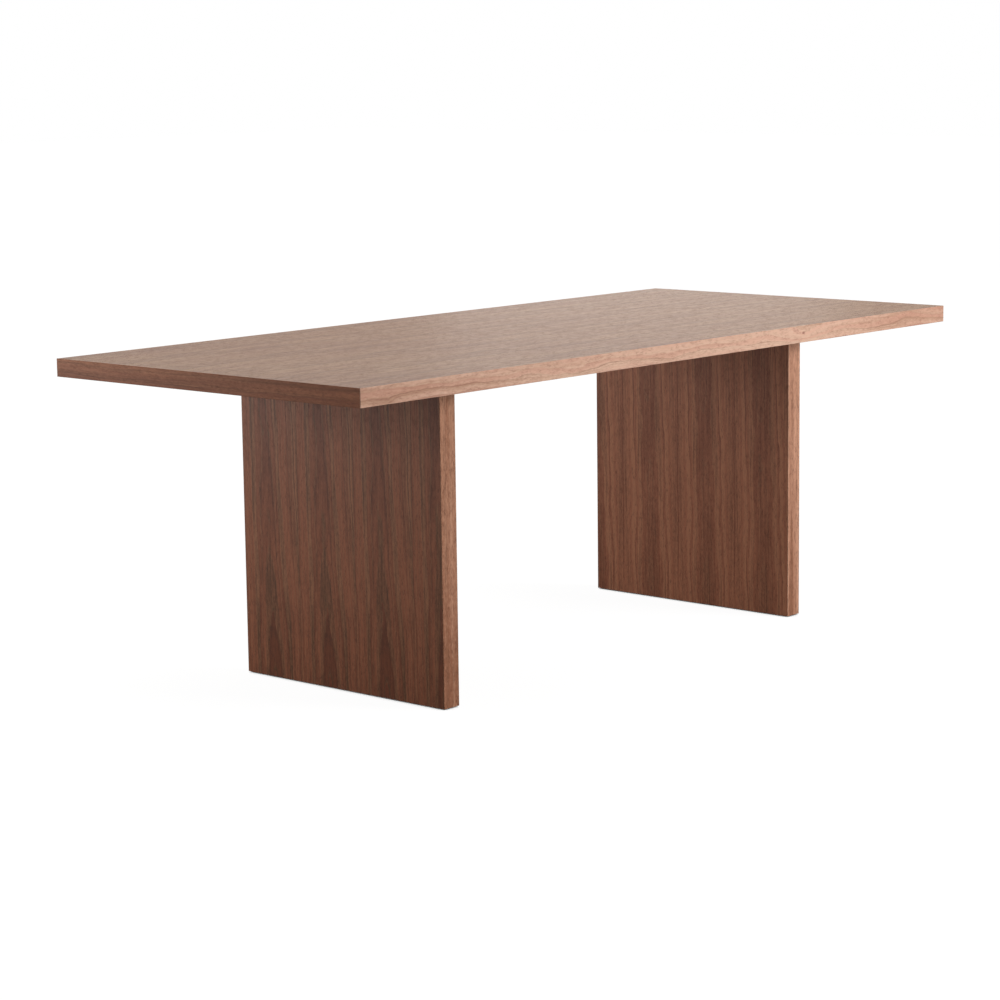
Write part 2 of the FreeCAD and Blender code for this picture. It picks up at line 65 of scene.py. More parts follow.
class Wiring:
    """Adds nodes to one tree. What a node takes may be a number, a colour or a socket.

    In the functions below, w is the wiring of the tree that they fill.
    """

    def __init__(self, tree):
        self.tree = tree

    def join(self, value, socket):
        """Link a socket to another, or set a plain value on it."""
        if isinstance(value, bpy.types.NodeSocket):
            self.tree.links.new(value, socket)
        else:
            socket.default_value = value

    def add(self, kind, inputs=(), **settings):
        """A new node with its settings, and with what goes into its sockets."""
        node = self.tree.nodes.new(kind)
        for name, value in settings.items():
            setattr(node, name, value)
        for key, value in dict(inputs).items():
            self.join(value, node.inputs[key])
        return node

    def calc(self, operation, *terms, clamp=False):
        """One step of arithmetic on up to three terms."""
        node = self.add("ShaderNodeMath", enumerate(terms), operation=operation)
        node.use_clamp = clamp
        return node.outputs[0]

    def plus(self, first, *more):
        """A sum, from the left."""
        for term in more:
            first = self.calc("ADD", first, term)
        return first

    def minus(self, first, second):
        """A difference."""
        return self.calc("SUBTRACT", first, second)

    def times(self, first, *more):
        """A product, from the left."""
        for term in more:
            first = self.calc("MULTIPLY", first, term)
        return first

    def over(self, first, second):
        """A quotient."""
        return self.calc("DIVIDE", first, second)

    def scaled(self, value, times, plus):
        """A value times one number, plus another."""
        return self.calc("MULTIPLY_ADD", value, times, plus)

    def reach(self, first, second):
        """How far two steps at right angles lead together."""
        return self.calc("SQRT", self.plus(self.times(first, first), self.times(second, second)))

    def ramp(self, value, low, high, to_low=0.0, to_high=1.0):
        """A smooth rise from to_low to to_high while value goes from low to high."""
        node = self.add("ShaderNodeMapRange",
                        {"Value": value, "From Min": low, "From Max": high,
                         "To Min": to_low, "To Max": to_high}, interpolation_type="SMOOTHSTEP")
        return node.outputs["Result"]

    def fall(self, value, low, high):
        """A smooth fall from 1 to 0 while value goes from low to high."""
        return self.ramp(value, low, high, 1.0, 0.0)

    def mix(self, share, first, second):
        """A colour that goes from first to second."""
        node = self.add("ShaderNodeMix", {MIX_SHARE: share, FIRST_COLOUR: first,
                                          SECOND_COLOUR: second}, data_type="RGBA")
        return node.outputs[MIXED_COLOUR]

    def mix_value(self, share, first, second):
        """A value that goes from first to second."""
        node = self.add("ShaderNodeMix", {MIX_SHARE: share, FIRST_VALUE: first,
                                          SECOND_VALUE: second})
        return node.outputs[MIXED_VALUE]

    def object_place(self):
        """The place of a point on the table at rest, in metres."""
        return self.add("ShaderNodeTexCoord").outputs["Object"]

    def parts(self, place):
        """The X, Y and Z of a place."""
        return self.add("ShaderNodeSeparateXYZ", {0: place}).outputs

    def place(self, x, y, z):
        """A place from its three parts."""
        return self.add("ShaderNodeCombineXYZ", {"X": x, "Y": y, "Z": z}).outputs[0]

    def stretched(self, parts, scales):
        """A place from three parts, each times its own scale."""
        return self.place(*(self.times(part, scale) for part, scale in zip(parts, scales)))

    def noise(self, place, scale=1.0, detail=2.0, roughness=0.5):
        """Soft noise, mostly near a half."""
        node = self.add("ShaderNodeTexNoise", {"Vector": place, "Scale": scale, "Detail": detail,
                                               "Roughness": roughness})
        return node.outputs["Fac"]

    def swing(self, place, reach, **more):
        """Noise from -reach to reach."""
        centred = self.minus(self.noise(place, **more), 0.5)
        return self.times(centred, self.times(reach, 2.0))

    def chance(self, number):
        """A value from 0 to 1 of its own for each whole number."""
        return self.add("ShaderNodeTexWhiteNoise", {"W": number},
                        noise_dimensions="1D").outputs["Value"]

    def group(self, tree, inputs):
        """A node group with its own values, and what comes out of it."""
        return self.add("ShaderNodeGroup", inputs, node_tree=tree).outputs


def new_group(name, inputs, outputs):
    """A node group with named inputs and outputs: its wiring, what comes in, what goes out."""
    tree = bpy.data.node_groups.new(name, "ShaderNodeTree")
    for label, start in inputs.items():
        kind = "NodeSocketColor" if isinstance(start, tuple) else "NodeSocketFloat"
        tree.interface.new_socket(label, in_out="INPUT", socket_type=kind).default_value = start
    for label, kind in outputs.items():
        tree.interface.new_socket(label, in_out="OUTPUT", socket_type=f"NodeSocket{kind}")
    wiring = Wiring(tree)
    entry = wiring.add("NodeGroupInput").outputs
    leave = wiring.add("NodeGroupOutput").inputs
    return wiring, entry, leave


# ---- the wood: leaves, growth rings and finish, shared by every walnut and poplar piece

def leaves_group():
    """Slip-matched leaves: where a point lies in its own leaf, and the joints between them."""
    w, given, out = new_group(
        "slip_matched_leaves",
        {"Across": 0.0, "Along": 0.0, "Leaf Width": 0.17, "First Joint": 0.0, "Slip": 0.02,
         "Knife Cut": 0.6 * MM, "Joint Width": 0.8 * MM},
        {"Across": "Float", "Along": "Float", "Depth": "Float", "Joint": "Float",
         "Leaf Tone": "Float"})
    count = w.over(w.minus(given["Across"], given["First Joint"]), given["Leaf Width"])
    leaf = w.calc("FLOOR", count)
    centred = w.minus(w.calc("FRACT", count), 0.5)
    w.join(w.times(centred, given["Leaf Width"]), out["Across"])
    w.join(w.scaled(leaf, given["Slip"], given["Along"]), out["Along"])
    w.join(w.times(leaf, given["Knife Cut"]), out["Depth"])
    to_joint = w.times(w.minus(0.5, w.calc("ABSOLUTE", centred)), given["Leaf Width"])
    w.join(w.fall(to_joint, 0.0, given["Joint Width"]), out["Joint"])
    w.join(w.chance(leaf), out["Leaf Tone"])
    return w.tree


# How close the marks of the wood lie, per metre: across and along the grain, or one way only.
RIPPLES = (22.0, 6.0)
LINE_FADES = (25.0, 3.0)
FLECKS = (260.0, 90.0)
PORE_DASHES = (1500.0, 110.0)
PORE_CLUMPS = (150.0, 45.0)
STREAKS_ACROSS = 220.0
UNEVEN_YEARS_ACROSS = 60.0
HEART_WAVES_ALONG = 7.0
HEART_PATCHES_ALONG = 4.0
BAND_DRIFT_ALONG = 1.6

# Rows of their own in the noise, so that no two effects move together.
SWEEP_ROW = 5.0
PATCH_ROW = 7.0
YEAR_ROW = 2.0

# Where things stand in one year's ring, as shares of its width.
EARLY_WOOD_GROWN = 0.25
LATE_WOOD_STARTS = 0.5
RING_LINE = 0.93

# Where the dark core fades and where its line stands, as shares of its radius.
CORE_FADES = 0.8
CORE_LINE_STARTS = 0.88
CORE_LINE = 0.93

# How strong the core's line is beside the strongest ring's.
CORE_LINE_SHARE = 0.4

# How far the heart's edges and the rings stray, in widths of their own.
HEART_WANDER = 0.7
RING_WANDER = 1.2

# The power that leaves most years with a faint line, and the number that turns a year's
# chance into another one, for its blush.
FAINT_YEARS = 1.5
BLUSH_SHUFFLE = 7.31


def growth_group():
    """Growth rings as the surface cuts them, with the broad bands and fibres between them.

    Across and Along lie in the surface and Depth is how far under it the pith runs. The pith
    leans sideways by Lean, sinks by Rise, and snakes by Wander and Sweep over each Sweep
    Length. Below Crown Height it bends up towards the surface, where the rings close in arches
    round the dark core. Swell pushes the rings aside, as a knot does.
    """
    w, given, out = new_group(
        "growth_rings",
        {"Across": 0.0, "Along": 0.0, "Depth": 0.05, "Off Centre": 0.0, "Lean": 0.0,
         "Rise": 0.0, "Crown Height": -10.0, "Crown Bend": 0.0, "Sweep": 0.006,
         "Sweep Length": 0.6, "Ring Width": 0.006, "Wander": 0.01, "Ripple": 0.002,
         "Band Width": 0.022, "Streaks": 5.0, "Heart": 0.0, "Core": 0.0, "Swell": 0.0,
         "Seed": 0.0},
        {"Late Wood": "Float", "Band": "Float", "Year": "Float", "Blush": "Float",
         "Fibre": "Float", "Mottle": "Float", "Pores": "Float", "Heart": "Float",
         "Core": "Float"})
    seed = given["Seed"]
    along = given["Along"]

    # Where the pith runs, and how far a point lies from it.
    sweeps = w.over(along, given["Sweep Length"])
    wander = w.swing(w.place(sweeps, seed, 0.0), given["Wander"], detail=1.0)
    lean = w.scaled(along, given["Lean"], given["Off Centre"])
    across = w.plus(given["Across"], wander, lean)
    sweep = w.swing(w.place(sweeps, SWEEP_ROW, seed), given["Sweep"])
    sunk = w.plus(w.scaled(along, given["Rise"], given["Depth"]), sweep)
    below_crown = w.calc("MAXIMUM", w.minus(given["Crown Height"], along), 0.0)
    depth = w.minus(sunk, w.times(below_crown, below_crown, given["Crown Bend"]))
    ripple = w.swing(w.stretched((across, along, seed), (*RIPPLES, 1.0)), given["Ripple"],
                     detail=4.0)
    from_pith = w.plus(w.reach(across, depth), w.plus(ripple, given["Swell"]))

    # The dark stripe over the pith, with wavy edges and paler patches.
    side = w.plus(w.calc("SIGN", across), seed)
    waves = w.place(w.times(along, HEART_WAVES_ALONG), side, 0.0)
    to_heart = w.plus(w.scaled(ripple, 2.0, w.calc("ABSOLUTE", across)),
                      w.swing(waves, w.times(given["Heart"], HEART_WANDER)))
    dark = w.fall(to_heart, 0.0, w.times(given["Heart"], 2.0))
    patches = w.noise(w.place(w.times(along, HEART_PATCHES_ALONG), seed, PATCH_ROW))
    w.join(w.times(dark, w.ramp(patches, low=0.35, high=0.6, to_low=0.7)), out["Heart"])

    # The core, which shows where the pith comes near the surface, and the line round it.
    core = given["Core"]
    core_edge = w.times(core, CORE_LINE)
    w.join(w.fall(from_pith, w.times(core, CORE_FADES), core), out["Core"])
    core_line = w.times(w.ramp(from_pith, w.times(core, CORE_LINE_STARTS), core_edge),
                        w.fall(from_pith, core_edge, core))

    # The years, each with a tone, a blush and a late line of its own.
    uneven = w.place(w.times(from_pith, UNEVEN_YEARS_ACROSS), seed, YEAR_ROW)
    rings = w.plus(w.over(from_pith, given["Ring Width"]),
                   w.swing(uneven, RING_WANDER, detail=1.0))
    part_of_year = w.calc("FRACT", rings)
    year = w.chance(w.plus(w.calc("FLOOR", rings), seed))
    grown = w.ramp(part_of_year, 0.0, EARLY_WOOD_GROWN)
    w.join(w.mix_value(grown, MIDDLE_TONE, year), out["Year"])
    w.join(w.times(grown, w.calc("FRACT", w.times(year, BLUSH_SHUFFLE))), out["Blush"])
    fades = w.noise(w.stretched((across, along, seed), (*LINE_FADES, 1.0)))
    slant = w.over(w.calc("ABSOLUTE", across), from_pith)
    late = w.times(w.ramp(part_of_year, LATE_WOOD_STARTS, RING_LINE),
                   w.fall(part_of_year, RING_LINE, 1.0),
                   w.ramp(fades, low=0.3, high=0.6),
                   w.ramp(slant, low=0.0, high=0.4, to_low=0.3),
                   w.calc("POWER", year, FAINT_YEARS))
    w.join(w.calc("MAXIMUM", late, w.times(core_line, CORE_LINE_SHARE)), out["Late Wood"])
    broad = w.place(w.over(from_pith, given["Band Width"]), seed,
                    w.times(along, BAND_DRIFT_ALONG))
    w.join(w.noise(broad, detail=3.0, roughness=0.55), out["Band"])

    def marks(per_across, per_along):
        """A place for marks that lie so close across and along the grain."""
        return w.stretched((given["Across"], along, depth), (per_across, per_along, per_across))

    # Fibres, flecks and open pores, all far longer along the grain than across it.
    streaks = marks(STREAKS_ACROSS, given["Streaks"])
    w.join(w.noise(streaks, detail=4.0, roughness=0.65), out["Fibre"])
    w.join(w.noise(marks(*FLECKS), roughness=0.7), out["Mottle"])
    dashes = w.ramp(w.noise(marks(*PORE_DASHES), detail=1.0), low=0.46, high=0.64)
    clumps = w.ramp(w.noise(marks(*PORE_CLUMPS), detail=1.0), low=0.36, high=0.64)
    w.join(w.times(dashes, clumps), out["Pores"])
    return w.tree


def pin_knot_group():
    """A pin knot: how far it pushes the rings aside, and the dark spot in its middle."""
    w, given, out = new_group(
        "pin_knot",
        {"Across": 0.0, "Along": 0.0, "Knot Across": 0.0, "Knot Along": 0.0,
         "Reach Across": 0.012, "Reach Along": 0.06, "Push": 0.02, "Radius": 0.003},
        {"Swell": "Float", "Spot": "Float"})
    across = w.minus(given["Across"], given["Knot Across"])
    along = w.minus(given["Along"], given["Knot Along"])

    def away(reach_across, reach_along):
        """How far a point lies from the knot, in reaches."""
        return w.reach(w.over(across, reach_across), w.over(along, reach_along))

    far = away(given["Reach Across"], given["Reach Along"])
    w.join(w.times(w.fall(far, low=0.0, high=2.5), given["Push"]), out["Swell"])
    near = away(given["Radius"], w.times(given["Radius"], 2.0))
    w.join(w.fall(near, low=0.3, high=1.0), out["Spot"])
    return w.tree


# Noise keeps near a half. These spread it over the tones from pale to deep.
BAND_SPREAD = 4.0
FINE_SPREAD = 3.0

# How far the tones of two leaves may lie apart.
LEAF_SPREAD = 0.12

# How much of the line's colour a joint and the spot of a knot take.
JOINT_SHARE = 0.45
SPOT_SHARE = 0.8

# How much duller open pores and pale fibres are, and how high a fibre stands beside the
# depth of a pore.
PORE_DULLNESS = 0.25
FIBRE_DULLNESS = 0.06
FIBRE_HEIGHT = 0.25


def wood_finish_group():
    """Colour, roughness and height of sawn and lacquered wood, from its rings."""
    w, given, out = new_group(
        "wood_finish",
        {"Pale": (0.4, 0.2, 0.1, 1.0), "Deep": (0.2, 0.1, 0.05, 1.0),
         "Line": (0.08, 0.04, 0.03, 1.0), "Red": (0.3, 0.1, 0.06, 1.0),
         "Core Wood": (0.12, 0.04, 0.02, 1.0), "Base": MIDDLE_TONE,
         "Band": 0.5, "Band Share": 0.8, "Year": 0.5, "Year Share": 0.2,
         "Fibre": 0.5, "Fibre Share": 0.5, "Mottle": 0.5, "Mottle Share": 0.4,
         "Heart": 0.0, "Heart Share": 0.3, "Core": 0.0, "Core Share": 0.7,
         "Blush": 0.0, "Blush Share": 0.3, "Late Wood": 0.0, "Line Share": 0.6,
         "Pores": 0.0, "Pore Share": 0.35, "Joint": 0.0, "Spot": 0.0, "Leaf Tone": 0.5,
         "Sheen": 0.42},
        {"Color": "Color", "Roughness": "Float", "Height": "Float"})

    def centred(name, strength):
        """An effect that swings to both sides of none."""
        return w.times(w.minus(given[name], 0.5), strength)

    def spread(name, strength):
        """A noise that swings to both sides of none, by its own share."""
        return centred(name, w.times(given[f"{name} Share"], strength))

    tone = w.plus(w.scaled(given["Heart"], given["Heart Share"], given["Base"]),
                  spread("Band", BAND_SPREAD), centred("Year", given["Year Share"]),
                  spread("Fibre", FINE_SPREAD), spread("Mottle", FINE_SPREAD))
    tone = w.calc("ADD", tone, centred("Leaf Tone", LEAF_SPREAD), clamp=True)
    open_pores = w.times(given["Pores"], given["Pore Share"])
    colour = w.mix(tone, given["Pale"], given["Deep"])
    for share, laid_over in (
            (w.times(given["Blush"], given["Blush Share"]), "Red"),
            (w.times(given["Core"], given["Core Share"]), "Core Wood"),
            (w.times(given["Late Wood"], given["Line Share"]), "Line"),
            (open_pores, "Line"),
            (w.times(given["Joint"], JOINT_SHARE), "Line"),
            (w.times(given["Spot"], SPOT_SHARE), "Line")):
        colour = w.mix(share, colour, given[laid_over])
    w.join(colour, out["Color"])
    dull = w.scaled(open_pores, PORE_DULLNESS, given["Sheen"])
    w.join(w.plus(dull, centred("Fibre", FIBRE_DULLNESS)), out["Roughness"])
    sunk = w.plus(open_pores, given["Joint"])
    w.join(w.minus(w.times(given["Fibre"], FIBRE_HEIGHT), sunk), out["Height"])
    return w.tree


LEAVES = leaves_group()
GROWTH = growth_group()
PIN_KNOT = pin_knot_group()
WOOD_FINISH = wood_finish_group()


def new_material(name):
    """An empty material with its surface shader: its wiring and the shader."""
    material = bpy.data.materials.new(name)
    material.use_nodes = True
    material.node_tree.nodes.clear()
    w = Wiring(material.node_tree)
    shader = w.add("ShaderNodeBsdfPrincipled")
    w.add("ShaderNodeOutputMaterial", {"Surface": shader.outputs[0]})
    return material, w, shader


def raised(w, shader, height, distance):
    """Let a height show in the shader's normal."""
    bump = w.add("ShaderNodeBump", {"Height": height, "Distance": distance, "Strength": 1.0})
    w.join(bump.outputs[0], shader.inputs["Normal"])


def wood(name, grain, growth, finish, leaves=None, knot=None, tones=(), gloss=0.5,
         relief=0.03 * MM):
    """Wood with its figure. grain names the axes that run across, through and along it.

    Each row of tones gives two places along the grain and how much deeper the colour is made
    there; some rows give the wood's own tone, others painted shade or a painted highlight.
    """
    material, w, shader = new_material(name)
    shader.inputs["Specular IOR Level"].default_value = gloss
    place = w.parts(w.object_place())
    across, through, along = (place[axis] for axis in grain)
    cut = {"Across": across, "Along": along}
    finish = dict(finish)
    growth = dict(growth)
    below = through
    if leaves:
        leaf = w.group(LEAVES, {**cut, **leaves})
        cut = {"Across": leaf["Across"], "Along": leaf["Along"]}
        below = leaf["Depth"]
        finish["Joint"] = leaf["Joint"]
        finish["Leaf Tone"] = leaf["Leaf Tone"]
    growth["Depth"] = w.plus(below, growth["Depth"])
    if knot:
        knotted = w.group(PIN_KNOT, {**cut, **knot})
        growth["Swell"] = knotted["Swell"]
        finish["Spot"] = knotted["Spot"]
    figure = w.group(GROWTH, {**cut, **growth})
    finish.update({part.name: part for part in figure})
    for tone_row in tones:
        finish["Base"] = w.plus(w.ramp(along, *tone_row), finish.get("Base", MIDDLE_TONE))
    surface = w.group(WOOD_FINISH, finish)
    w.join(surface["Color"], shader.inputs["Base Color"])
    w.join(surface["Roughness"], shader.inputs["Roughness"])
    raised(w, shader, surface["Height"], relief)
    return material


def srgb(red, green, blue):
    """A colour as a painter would name it, 0 to 255, in the light's own scale."""
    def linear(value):
        """One part of it, in the light's own scale."""
        share = value / 255
        return share / 12.92 if share <= 0.04045 else ((share + 0.055) / 1.055) ** 2.4
    return (linear(red), linear(green), linear(blue), 1.0)


# Which axes run across, through and along the grain.
GRAIN_UP_ON_LEG_FACE = ("Y", "X", "Z")
GRAIN_UP_ON_LEG_EDGE = ("X", "Y", "Z")
GRAIN_ALONG_TOP_FACE = ("Y", "Z", "X")
GRAIN_ALONG_LONG_EDGE = ("Z", "Y", "X")
GRAIN_ALONG_END_EDGE = ("Z", "X", "Y")
GRAIN_ACROSS_TOP = ("X", "Z", "Y")

WALNUT_FACE = {"Pale": srgb(172, 117, 87), "Deep": srgb(100, 71, 51),
               "Line": srgb(64, 40, 32), "Red": srgb(156, 80, 57),
               "Core Wood": srgb(104, 60, 46)}
WALNUT_TOP = {"Pale": srgb(160, 119, 86), "Deep": srgb(126, 80, 56),
              "Line": srgb(96, 60, 46), "Red": srgb(158, 102, 78)}
WALNUT_BAND = {"Pale": srgb(208, 174, 152), "Deep": srgb(174, 136, 114),
               "Line": srgb(132, 88, 76), "Red": srgb(202, 148, 130)}
WALNUT_EDGE = {"Pale": srgb(185, 123, 88), "Deep": srgb(138, 86, 58),
               "Line": srgb(86, 56, 44), "Red": srgb(166, 96, 70)}
POPLAR = {"Pale": srgb(216, 204, 168), "Deep": srgb(190, 180, 138),
          "Line": srgb(150, 140, 100), "Red": srgb(190, 190, 140)}

left_leg_walnut = wood(
    "left_leg_walnut", GRAIN_UP_ON_LEG_FACE,
    {"Depth": 0.043, "Off Centre": 0.004, "Lean": -0.0375, "Crown Height": 0.75,
     "Crown Bend": 0.0465, "Sweep": 0.003, "Ring Width": 0.0085, "Wander": 0.008,
     "Ripple": 0.008, "Band Width": 0.014, "Heart": 0.024, "Core": 0.0265, "Seed": 4.0},
    {**WALNUT_FACE, "Base": 0.33, "Heart Share": 0.52, "Core Share": 0.12, "Band Share": 0.55,
     "Year Share": 0.2, "Fibre Share": 0.7, "Mottle Share": 0.28, "Line Share": 0.75,
     "Pore Share": 0.5, "Blush Share": 0.5},
    {"Leaf Width": 0.175, "First Joint": 0.130, "Slip": 0.004},
    # painted shade: the face is made deeper over its lowest 0.4 m, standing in for shade towards
    # the floor
    tones=((0.0, 0.4, 0.1, 0.0),), gloss=0.15)
right_leg_walnut = wood(
    "right_leg_walnut", GRAIN_UP_ON_LEG_FACE,
    {"Depth": 0.047, "Lean": -0.03, "Off Centre": 0.0076, "Rise": 0.008, "Sweep": 0.006,
     "Ring Width": 0.007, "Wander": 0.009, "Ripple": 0.009, "Band Width": 0.02,
     "Heart": 0.031, "Seed": 16.0},
    {**WALNUT_FACE, "Pale": srgb(202, 137, 104), "Deep": srgb(121, 79, 58), "Base": 0.18,
     "Heart Share": 0.45, "Band Share": 0.5, "Year Share": 0.2, "Fibre Share": 0.62,
     "Mottle Share": 0.28, "Line Share": 0.6, "Pore Share": 0.42, "Blush Share": 0.4},
    {"Leaf Width": 0.179, "First Joint": 0.2175, "Slip": -0.003}, gloss=0.15)
top_face_walnut = wood(
    "top_face_walnut", GRAIN_ALONG_TOP_FACE,
    {"Depth": 0.09, "Sweep": 0.012, "Ring Width": 0.011, "Wander": 0.012, "Ripple": 0.006,
     "Band Width": 0.014, "Streaks": 2.5, "Seed": 11.0},
    {**WALNUT_TOP, "Band Share": 0.5, "Year Share": 0.4, "Pore Share": 0.9,
     "Fibre Share": 1.3, "Mottle Share": 0.35, "Blush Share": 0.35},
    {"Leaf Width": 0.172, "First Joint": 0.02, "Slip": 0.15},
    # painted highlight: the top is made paler towards its right end, standing in for the sheen
    # there
    tones=((0.0, 1.0, 0.0, -0.35),))
long_edge_walnut = wood(
    "long_edge_walnut", GRAIN_ALONG_LONG_EDGE,
    {"Depth": 0.49, "Rise": 0.02, "Sweep": 0.02, "Sweep Length": 0.5, "Ring Width": 0.007,
     "Wander": 0.02, "Ripple": 0.02, "Seed": 5.0},
    {**WALNUT_BAND, "Line Share": 0.65, "Band Share": 0.6, "Year Share": 0.4,
     "Pore Share": 0.5, "Blush Share": 0.45},
    knot={"Knot Across": 0.7324, "Knot Along": 0.447, "Radius": 0.004},
    tones=((-1.0, -0.3, 0.25, -0.35), (0.5, 0.95, 0.0, 0.75)), gloss=0.15)
end_edge_walnut = wood(
    "end_edge_walnut", GRAIN_ALONG_END_EDGE,
    {"Depth": 1.1, "Sweep": 0.01, "Ring Width": 0.006, "Wander": 0.004, "Ripple": 0.008,
     "Seed": 8.0},
    {**WALNUT_EDGE, "Line Share": 0.7, "Year Share": 0.4, "Pore Share": 0.5},
    # painted shade: the end band is made deeper towards the front, standing in for the light
    # falling off there
    tones=((-0.3, 0.3, 0.35, 0.0),), gloss=0.1)


def leg_edge(name, seed, pale, flecks, painted_foot_shade):
    """Edge band up the narrow side of a leg, deeper by foot at the floor: painted shade that
    darkens it towards the floor.
    """
    return wood(name, GRAIN_UP_ON_LEG_EDGE,
                {"Depth": 0.36, "Sweep": 0.006, "Ring Width": 0.006, "Wander": 0.005,
                 "Ripple": 0.004, "Seed": seed},
                {**WALNUT_EDGE, "Pale": pale, "Deep": srgb(136, 94, 72), "Base": 0.35,
                 "Band Share": 0.5, "Mottle Share": flecks, "Pore Share": 0.7,
                 "Year Share": 0.25, "Blush Share": 0.15},
                # painted shade: the band is made deeper over the lowest 0.45 m of the leg
                tones=((0.0, 0.45, painted_foot_shade, 0.0),), gloss=0.15)


# the last argument is how strongly painted shade darkens each leg edge towards the floor
left_leg_edge_walnut = leg_edge(
    "left_leg_edge_walnut", seed=21.0, pale=srgb(178, 133, 108), flecks=0.6, painted_foot_shade=0.55)
right_leg_edge_walnut = leg_edge(
    "right_leg_edge_walnut", seed=24.0, pale=srgb(200, 152, 126), flecks=0.2, painted_foot_shade=0.35)


def planed_poplar(name, grain):
    """Bare poplar, cut as solid bars: the rings show on the ends."""
    return wood(name, grain,
                {"Depth": 0.21, "Sweep": 0.01, "Ring Width": 0.004, "Wander": 0.01,
                 "Band Width": 0.05, "Seed": 31.0},
                {**POPLAR, "Line Share": 0.5, "Band Share": 0.5, "Pore Share": 0.15,
                 "Sheen": 0.68}, gloss=0.3, relief=0.05 * MM)


poplar_along_top = planed_poplar("poplar_along_top", GRAIN_ALONG_TOP_FACE)
poplar_across = planed_poplar("poplar_across", GRAIN_ACROSS_TOP)
poplar_upright = planed_poplar("poplar_upright", GRAIN_UP_ON_LEG_EDGE)


# ---- board, metal and nylon

def pressed_fibreboard():
    """Raw fibreboard: a warm brown felt of fine fibres, with darker clouds and specks."""
    material, w, shader = new_material("pressed_fibreboard")
    place = w.object_place()
    felt = w.noise(place, scale=900.0, detail=4.0, roughness=0.7)
    cloud = w.noise(place, scale=14.0)
    colour = w.mix(w.ramp(felt, low=0.35, high=0.65), srgb(150, 118, 86), srgb(176, 144, 110))
    colour = w.mix(w.ramp(cloud, low=0.3, high=0.7, to_high=0.4), colour, srgb(140, 108, 78))
    specks = w.ramp(w.noise(place, scale=2600.0, detail=1.0), low=0.68, high=0.74, to_high=0.6)
    w.join(w.mix(specks, colour, srgb(92, 68, 48)), shader.inputs["Base Color"])
    w.join(w.scaled(felt, times=0.1, plus=0.8), shader.inputs["Roughness"])
    raised(w, shader, felt, distance=0.06 * MM)
    return material


def black_powder_coat():
    """Fine-textured black powder coat, rubbed a little paler and smoother in patches."""
    material, w, shader = new_material("black_powder_coat")
    place = w.object_place()
    pimples = w.noise(place, scale=1400.0)
    rubbed = w.ramp(w.noise(place, scale=30.0, detail=5.0, roughness=0.6), low=0.55, high=0.75)
    w.join(w.mix(rubbed, srgb(34, 34, 36), srgb(48, 48, 50)), shader.inputs["Base Color"])
    w.join(w.scaled(rubbed, times=-0.18, plus=0.62), shader.inputs["Roughness"])
    raised(w, shader, pimples, distance=0.05 * MM)
    return material


def bright_zinc():
    """Bright zinc plate with faint clouds and hairline scratches."""
    material, w, shader = new_material("bright_zinc")
    shader.inputs["Metallic"].default_value = 1.0
    place = w.object_place()
    clouds = w.noise(place, scale=160.0, detail=3.0)
    scratches = w.noise(w.stretched(w.parts(place), (900.0, 900.0, 120.0)))
    w.join(w.mix(clouds, srgb(176, 180, 188), srgb(204, 202, 192)),
           shader.inputs["Base Color"])
    dull = w.scaled(clouds, times=0.15, plus=0.15)
    w.join(w.scaled(scratches, times=0.25, plus=dull), shader.inputs["Roughness"])
    raised(w, shader, scratches, distance=0.01 * MM)
    return material


def black_nylon():
    """Moulded black nylon, dusty and scuffed on the sole."""
    material, w, shader = new_material("black_nylon")
    place = w.object_place()
    grain = w.noise(place, scale=700.0, detail=3.0)
    scuffs = w.ramp(w.noise(place, scale=120.0, detail=4.0, roughness=0.7), low=0.45, high=0.7)
    near_floor = w.ramp(w.parts(place)["Z"], low=0.0, high=1.0 * MM, to_low=1.0, to_high=0.1)
    sole = w.times(scuffs, near_floor)
    w.join(w.mix(sole, srgb(30, 30, 31), srgb(74, 72, 69)), shader.inputs["Base Color"])
    matt = w.scaled(grain, times=0.15, plus=0.42)
    w.join(w.scaled(sole, times=0.3, plus=matt), shader.inputs["Roughness"])
    raised(w, shader, grain, distance=0.03 * MM)
    return material


fibreboard = pressed_fibreboard()
powder_coat = black_powder_coat()
zinc = bright_zinc()
nylon = black_nylon()


# ---- which piece gets which finish

def poplar_for(name):
    """Poplar with its grain along the bar."""
    if "stile" in name:
        return poplar_upright
    if name in ("top_front_rail", "top_back_rail", "top_spine_rail"):
        return poplar_along_top
    return poplar_across


def walnut_for(name):
    """Walnut with its figure laid the way the veneer or the band runs."""
    if "veneer" in name:
        if name.startswith("top"):
            return top_face_walnut
        return left_leg_walnut if name.startswith("left") else right_leg_walnut
    if name in ("top_front_edge_band", "top_back_edge_band"):
        return long_edge_walnut
    if name.startswith("top"):
        return end_edge_walnut
    return left_leg_edge_walnut if name.startswith("left") else right_leg_edge_walnut


FINISHES = {
    "veneer": walnut_for, "band": walnut_for, "rail": poplar_for, "stile": poplar_for,
    "skin": fibreboard, "bracket": powder_coat, "pad": nylon,
    "nuts": zinc, "bolts": zinc, "stem": zinc,
}


def finish_for(name):
    """The finish that the last word of a node's name calls for, past any number."""
    last_word = name.rstrip("_0123456789").rsplit("_", 1)[-1]
    finish = FINISHES[last_word]
    return finish(name) if callable(finish) else finish


for name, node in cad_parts.items():
    node.material_slots[0].material = finish_for(name)


# ---- threads and screw heads, finer than the solids

ROUND_STEPS = 24
# Edges that turn by more than this stay sharp, and points nearer than this become one.
SHARP_EDGE = math.radians(32)
WELD = 0.002 * MM
THREAD_PITCH = 1.25 * MM
THREAD_DEPTH = 0.7 * MM
# Both ends of a thread's root and of its crest: how far along the pitch, and how full.
THREAD_SHAPE = ((0.0, 0.0), (0.12, 0.0), (0.5, 1.0), (0.62, 1.0))


